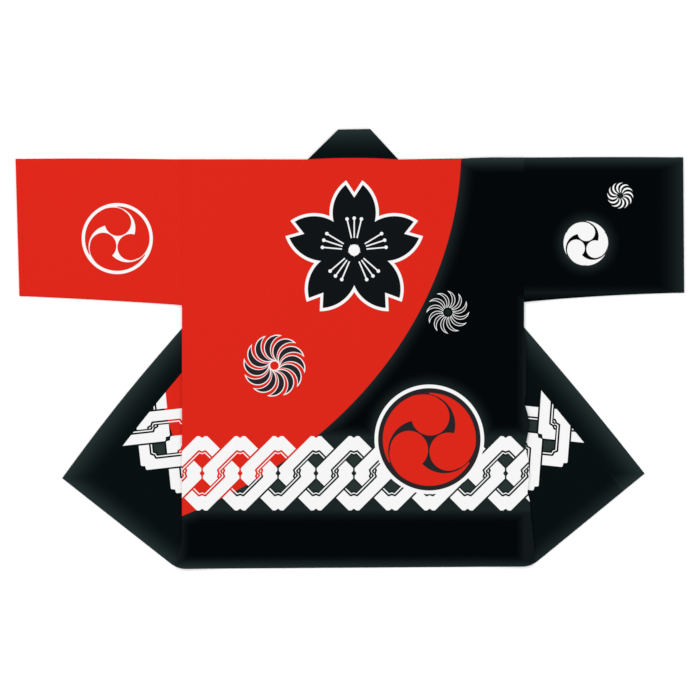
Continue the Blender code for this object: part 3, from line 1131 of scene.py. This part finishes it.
def print_sleeve_right(tree, x, y):
    top, foot = SLEEVE_RIGHT.cuff_top, SLEEVE_RIGHT.cuff_foot
    disc = most(reach_of(*moved(x, y, RIGHT_DISC)) - RIGHT_RINGS[0], 0.0)
    # the black has a painted highlight towards its edges, the cuff and the disc
    faint = least(abs(y - foot[1]) + FAINT, (top[0] - x) * CUFF_RATE, disc) + FAINT
    colour = with_painted_highlight(tree, BLACK, least(abs(top[1] - y) * EDGE_RATE, faint))
    colour = ringed_commas(
        tree, x, y, colour, RIGHT_DISC, RIGHT_RINGS, (WHITE,), BLACK, RIGHT_WIDEN
    )
    return wheel(tree, x, y, colour, SLEEVE_WHEEL)


# %% Roll the sleeves
SLEEVE_GIRTH = 280.0  # half the rectangle, from the top fold to the seam under the arm
CUFF_HEM = 12.0
SLEEVE_LIFT = 60.0  # how far a sleeve takes to come down from the fronts to the table
TUBE_RADIUS = BEND_RADIUS + MIDDLE
TUBE_EDGE = CLOTH + GAP / 2
TURN = math.pi / 2 * TUBE_RADIUS  # cloth in a quarter turn
TURN_STEPS = 3


def sleeve_lines(sleeve, share):
    """Heights of the top fold and of the seam under the arm, this far towards the cuff."""
    hump = 4.0 * share * (1.0 - share)
    top = sleeve.shoulder[1] + (sleeve.cuff_top[1] - sleeve.shoulder[1]) * share
    foot = sleeve.underarm[1] + (sleeve.cuff_foot[1] - sleeve.underarm[1]) * share
    return top + sleeve.top_bow * hump, foot + sleeve.foot_bow * hump


def sleeve_reach(sleeve):
    return abs(sleeve.cuff_top[0] - sleeve.shoulder[0])


def sleeve_x(sleeve, share, height):
    armhole = sleeve.shoulder[0]
    drop = (sleeve.cuff_top[1] - height) / (sleeve.cuff_top[1] - sleeve.cuff_foot[1])
    cuff = sleeve.cuff_top[0] + (sleeve.cuff_foot[0] - sleeve.cuff_top[0]) * drop
    return armhole + (cuff - armhole) * share


def sleeve_cut(sleeve, point):
    """Place in the print of a point of the rectangle. The upper half has the coat's measures."""
    share = point[0] / sleeve_reach(sleeve)
    top, foot = sleeve_lines(sleeve, share)
    down = abs(point[1]) / SLEEVE_GIRTH * (top - foot)
    x = sleeve_x(sleeve, share, top - down)
    return Vector((x, top - down if point[1] <= 0.0 else top + down))


def rolled(sleeve, point, rise=MIDDLE):
    """Where a point of the sleeve's rectangle goes. rise is its distance from the inner face."""
    share = point[0] / sleeve_reach(sleeve)
    top, foot = sleeve_lines(sleeve, share)
    lift = LAYER * (1.0 - smooth_step(point[0] / SLEEVE_LIFT))
    radius = TUBE_RADIUS - MIDDLE + rise
    gone = abs(point[1])
    upper = 1.0 if point[1] <= 0.0 else -1.0
    if gone < TURN:
        angle = gone / TUBE_RADIUS
        height = top - TUBE_EDGE + radius * math.cos(angle)
        off = radius * math.sin(angle)
    elif gone > SLEEVE_GIRTH - TURN:
        angle = (SLEEVE_GIRTH - gone) / TUBE_RADIUS
        height = foot + TUBE_EDGE - radius * math.cos(angle)
        off = radius * math.sin(angle)
    else:
        down = (gone - TURN) / (SLEEVE_GIRTH - 2 * TURN)
        height = top - TUBE_EDGE - down * (top - foot - 2 * TUBE_EDGE)
        off = radius
    x = sleeve_x(sleeve, share, height)
    level = lift + TUBE_EDGE + upper * off
    if upper > 0.0:
        level += ease((x, height)) * min(1.0, off / TUBE_RADIUS)
    return Vector((x, height, level))


def make_sleeve(sleeve, print_on):
    reach = sleeve_reach(sleeve)
    corners = ((0, -SLEEVE_GIRTH), (reach, -SLEEVE_GIRTH), (reach, SLEEVE_GIRTH), (0, SLEEVE_GIRTH))
    cloth = cut_flat(corners)
    score_grid(cloth)
    for place in (reach - CUFF_HEM, reach - CUFF_HEM - HEM_STEP):
        score(cloth, (place, 0.0), (1.0, 0.0))
    for step in range(TURN_STEPS + 1):
        for line in (TURN * step / TURN_STEPS, SLEEVE_GIRTH - TURN * step / TURN_STEPS):
            score(cloth, (0.0, line), (0.0, 1.0))
            score(cloth, (0.0, -line), (0.0, 1.0))
    note_cut(cloth, lambda point: sleeve_cut(sleeve, point))
    cuff = reach - CUFF_HEM - SLACK
    mark_doubled(cloth, lambda point: point[0] > cuff or point[0] < ALLOWANCE)
    up = lay(cloth, lambda point: rolled(sleeve, point))
    bmesh.ops.remove_doubles(cloth, verts=cloth.verts, dist=SLACK * MM)
    node = f"sleeve_{sleeve.name}"
    faces = both_faces(node, print_on)
    return sewn_piece(f"sleeve_cloth_{sleeve.name}", cloth, faces, node, up)


sleeve_cloth_left = make_sleeve(SLEEVE_LEFT, print_sleeve_left)
sleeve_cloth_right = make_sleeve(SLEEVE_RIGHT, print_sleeve_right)

# %% [markdown]
# ## The collar
#
# The collar is one long strip of doubled black cloth. It runs up the free edge of the left
# front, round the neck and down the right front. With the fronts folded out it has to turn
# over at both ends of the neck, along a slanting crease, as a paper strip does when it is
# folded round a corner.
#
# The strip is drawn flat, seam side at zero. For any point on it, the share of the way along
# and across tells which of three parts it is on: a front, the crease or the neck.

# %% Where the collar goes
COLLAR_WIDTH = 57.0
COLLAR_LENGTH = 1764.0


def collar_lines(side):
    """The seam and the free edge of one front's collar, each from the hem to the crease."""
    seam = (Vector(side.hem_seam), Vector(side.neck_seam))
    edge = (Vector(side.hem_edge), Vector(side.neck_edge))
    return seam, edge


def front_length(side, across):
    """Length of the collar on one front, at this share of its width."""
    seam, edge = [(end - start).length for start, end in collar_lines(side)]
    return seam + (edge - seam) * across


def neck_length(across):
    seam = (Vector(RIGHT.neck_seam) - Vector(LEFT.neck_seam)).length
    edge = (Vector(RIGHT.neck_edge) - Vector(LEFT.neck_edge)).length
    return seam + (edge - seam) * across


def strip_length(across):
    """Length of the whole collar as it lies, at this share of its width."""
    return front_length(LEFT, across) + neck_length(across) + front_length(RIGHT, across)


def crease_frame(side):
    """The crease's foot on the neck seam, its direction, and the direction out of the coat."""
    foot = Vector(side.neck_seam)
    along = (Vector(side.neck_edge) - foot).normalized()
    return foot, along, Vector((-along.y, along.x)) * side.turn


def round_crease(side, place, before, rise):
    """A point near the crease, or None. before is True on the front's side of it."""
    foot, along, outward = crease_frame(side)
    depth = -(place - foot).dot(outward)
    if depth > BEND_LENGTH / 2:
        return None
    gone = -depth if before else depth
    angle = math.pi * (gone / BEND_LENGTH + 0.5)
    radius = BEND_RADIUS + CLOTH - rise
    base = foot + along * (place - foot).dot(along)
    spot = base + outward * (radius * math.sin(angle) - BEND_RADIUS - CLOTH)
    return Vector((spot.x, spot.y, 2 * LAYER - GAP / 2 - radius * math.cos(angle)))


def on_front(side, share, across, rise):
    """A place on one front's collar. share is the way from the hem to the crease."""
    seam, edge = [start.lerp(end, share) for start, end in collar_lines(side)]
    place = seam.lerp(edge, across)
    return round_crease(side, place, True, rise) or folded(side, place, rise)


def on_neck(share, across, rise):
    """A place on the neck's collar. share is the way from the left crease to the right."""
    seam = Vector(LEFT.neck_seam).lerp(Vector(RIGHT.neck_seam), share)
    edge = Vector(LEFT.neck_edge).lerp(Vector(RIGHT.neck_edge), share)
    seam.y += bow(seam.x)
    place = seam.lerp(edge, across)
    level = top_level(place) + CLOTH - rise + ease(place)
    side = LEFT if share < 0.5 else RIGHT
    return round_crease(side, place, False, rise) or Vector((place.x, place.y, level))


def collar_place(point, rise=MIDDLE):
    """Where a point of the flat strip goes. rise is its distance from the outer face."""
    across = point[1] / COLLAR_WIDTH
    left, neck, length = front_length(LEFT, across), neck_length(across), strip_length(across)
    gone = point[0] * length / COLLAR_LENGTH
    if gone < left:
        return on_front(LEFT, gone / left, across, rise)
    if gone > left + neck:
        return on_front(RIGHT, (length - gone) / front_length(RIGHT, across), across, rise)
    return on_neck((gone - left) / neck, across, rise)


# %% Cut and fold the collar
COLLAR_GRID = 7.0


def crossing(line, point, across):
    """How far along a line it meets another one, given by a point and its normal."""
    start, end = line
    begin, finish = (start - point).dot(across), (end - point).dot(across)
    return (end - start).length * begin / (begin - finish)


def score_collar(cloth, side, reach_seam, reach_edge):
    """A cut across the strip, given by its distance from the hem on each long side."""
    ends = []
    for reach, across in ((reach_seam, 0.0), (reach_edge, 1.0)):
        flat = reach * COLLAR_LENGTH / strip_length(across)
        x = flat if side is LEFT else COLLAR_LENGTH - flat
        ends.append(Vector((x, across * COLLAR_WIDTH)))
    run = ends[1] - ends[0]
    score(cloth, ends[0], (run.y, -run.x))


strip = cut_flat(((0, 0), (COLLAR_LENGTH, 0), (COLLAR_LENGTH, COLLAR_WIDTH), (0, COLLAR_WIDTH)))
score_grid(strip, COLLAR_GRID)
for side in (LEFT, RIGHT):
    foot, _, across = fold_lines(side)
    for offset in bend_offsets():
        reaches = [crossing(line, foot + across * offset, across) for line in collar_lines(side)]
        score_collar(strip, side, *reaches)
        slant = offset * math.sqrt(2.0)  # the crease crosses the strip at about 45 degrees
        score_collar(strip, side, front_length(side, 0) + slant, front_length(side, 1) + slant)
note_cut(strip)
mark_doubled(strip, lambda point: True)


def print_collar(tree, x, y):
    """The collar has a painted highlight that fades from its free edge all the way across, and near
    its hems.
    """
    hem = least(x, COLLAR_LENGTH - x) * (COLLAR_WIDTH / WING_HIGHLIGHT_DEPTH)
    return with_painted_highlight(tree, SOFT_BLACK, least(COLLAR_WIDTH - y, hem), COLLAR_WIDTH)


black_cotton = cotton("black_collar_cotton", print_collar)
up = lay(strip, collar_place)
collar_faces = (black_cotton, black_cotton)
collar_cloth = sewn_piece("collar_cloth", strip, collar_faces, "collar", up)

# %% [markdown]
# ## Stitches
#
# Hems, cuffs and both edges of the collar are topstitched. A stitch is a short thread that
# comes up, lies on the cloth and goes down again. There are well over a thousand, so each is
# only a stretched ball of twenty faces. It is sunk halfway into the cloth, and its place
# comes through the same map as the cloth below it.

# %% Sew
STITCH = 2.6
STITCH_PITCH = 3.5
STITCH_FIRST = 0.12  # where in its pitch a stitch starts
STITCH_SINK = 0.05
THREAD_HALF = 0.24
THREAD_FLAT = 0.8  # a pulled thread is a little flat
BALL_FACES = 20
RED_THREAD = (0.52, 0.016, 0.010, 1.0)
BLACK_THREAD = (0.010, 0.012, 0.012, 1.0)
THREAD_ROUGHNESS = 0.7
THREAD_GLOSS = 0.2
RIDGE_SCALE = 1400.0
RIDGE_DEPTH = 0.04


def one_stitch(thread, start, end):
    """A stretched ball from start to end, in millimetres."""
    run = end - start
    turn = run.to_track_quat("X", "Z").to_matrix().to_4x4()
    size = Matrix.Diagonal((run.length / 2, THREAD_HALF, THREAD_HALF * THREAD_FLAT, 1.0))
    place = Matrix.Translation((start + end) / 2) @ turn @ size
    bmesh.ops.create_icosphere(thread, subdivisions=1, radius=1.0, matrix=place)


def sew_row(thread, start, end, place):
    """Stitches along a straight row on the flat cut, laid by place(point)."""
    start, end = Vector(start), Vector(end)
    count = int((end - start).length / STITCH_PITCH)
    step = (end - start) / count
    stitch = step * (STITCH / STITCH_PITCH)
    for number in range(count):
        begin = start + step * (number + STITCH_FIRST)
        one_stitch(thread, place(begin), place(begin + stitch))
    return count


def tie_off(name, thread, material):
    """Makes the sewn rows one piece."""
    bmesh.ops.translate(thread, vec=SHIFT, verts=thread.verts)
    bmesh.ops.scale(thread, vec=(MM, MM, MM), verts=thread.verts)
    made = object_from(name, thread, material)
    made.data.shade_smooth()
    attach(made, "root")
    return made


def thread_material(name, colour):
    """Twisted cotton thread: dull, with fine slanting ridges."""
    material = plain_material(name, colour, THREAD_ROUGHNESS)
    tree = material.node_tree
    shader = tree.nodes["Principled BSDF"]
    shader.inputs["Specular IOR Level"].default_value = THREAD_GLOSS
    place = tree.nodes.new("ShaderNodeTexCoord")
    ridges = tree.nodes.new("ShaderNodeTexWave")
    ridges.bands_direction = "DIAGONAL"
    ridges.inputs["Scale"].default_value = RIDGE_SCALE
    bump = tree.nodes.new("ShaderNodeBump")
    bump.inputs["Distance"].default_value = RIDGE_DEPTH * MM
    tree.links.new(place.outputs["Object"], ridges.inputs["Vector"])
    tree.links.new(ridges.outputs["Fac"], bump.inputs["Height"])
    tree.links.new(bump.outputs["Normal"], shader.inputs["Normal"])
    return material


red_thread = thread_material("red_thread", RED_THREAD)
black_thread = thread_material("black_thread", BLACK_THREAD)

# %% Sew the hems
HEM_ROW = 15.0
BACK_ROW_HALF = 330.0
WING_ROW_SHARE = 0.97  # a row on a wing starts this share of the way out to the fold
ROW_CLEAR = 3.0  # and rows stop this far from a seam

thread = bmesh.new()
ends = ((-BACK_ROW_HALF, HEM_ROW), (BACK_ROW_HALF, HEM_ROW))
count = sew_row(thread, *ends, lambda point: laid_back(point, CLOTH - STITCH_SINK))
back_stitches = tie_off("back_stitches", thread, black_thread)
print("hem of the back", count, "stitches")

for side in (LEFT, RIGHT):
    thread = bmesh.new()
    height = side.hem_seam[1] + HEM_ROW
    start = side.fold_foot[0] * WING_ROW_SHARE
    end = side.hem_seam[0] - side.turn * ROW_CLEAR
    sew_row(thread, (start, height), (end, height), lambda point: folded(side, point, STITCH_SINK))
    name = f"front_stitches_{side.name}"
    tie_off(name, thread, black_thread)

# %% Sew the cuffs
CUFF_ROW = 10.0

for sleeve, material, slot in (
    (SLEEVE_LEFT, red_thread, "cloth_red"),
    (SLEEVE_RIGHT, black_thread, "cloth_black"),
):
    thread = bmesh.new()
    row = sleeve_reach(sleeve) - CUFF_ROW
    for half in (-1.0, 1.0):
        ends = ((row, half * ROW_CLEAR), (row, half * (SLEEVE_GIRTH - ROW_CLEAR)))
        sew_row(thread, *ends, lambda point: rolled(sleeve, point, CLOTH - STITCH_SINK))
    tie_off(f"cuff_stitches_{sleeve.name}", thread, material)

# %% Sew the collar
EDGE_ROW = 2.6
CREASE_CLEAR = 6.0  # stitches stop this far from a crease and from the hems
ROW_START = 4.0  # and this much further from the left hem

thread = bmesh.new()
for height in (EDGE_ROW, COLLAR_WIDTH - EDGE_ROW):
    across = height / COLLAR_WIDTH
    first = front_length(LEFT, across)
    last = first + neck_length(across)
    for start, end in ((ROW_START, first), (first, last), (last, COLLAR_LENGTH)):
        ends = ((start + CREASE_CLEAR, height), (end - CREASE_CLEAR, height))
        sew_row(thread, *ends, lambda point: collar_place(point, STITCH_SINK))
collar_stitches = tie_off("collar_stitches", thread, black_thread)
print("collar", len(collar_stitches.data.polygons) // BALL_FACES, "stitches")
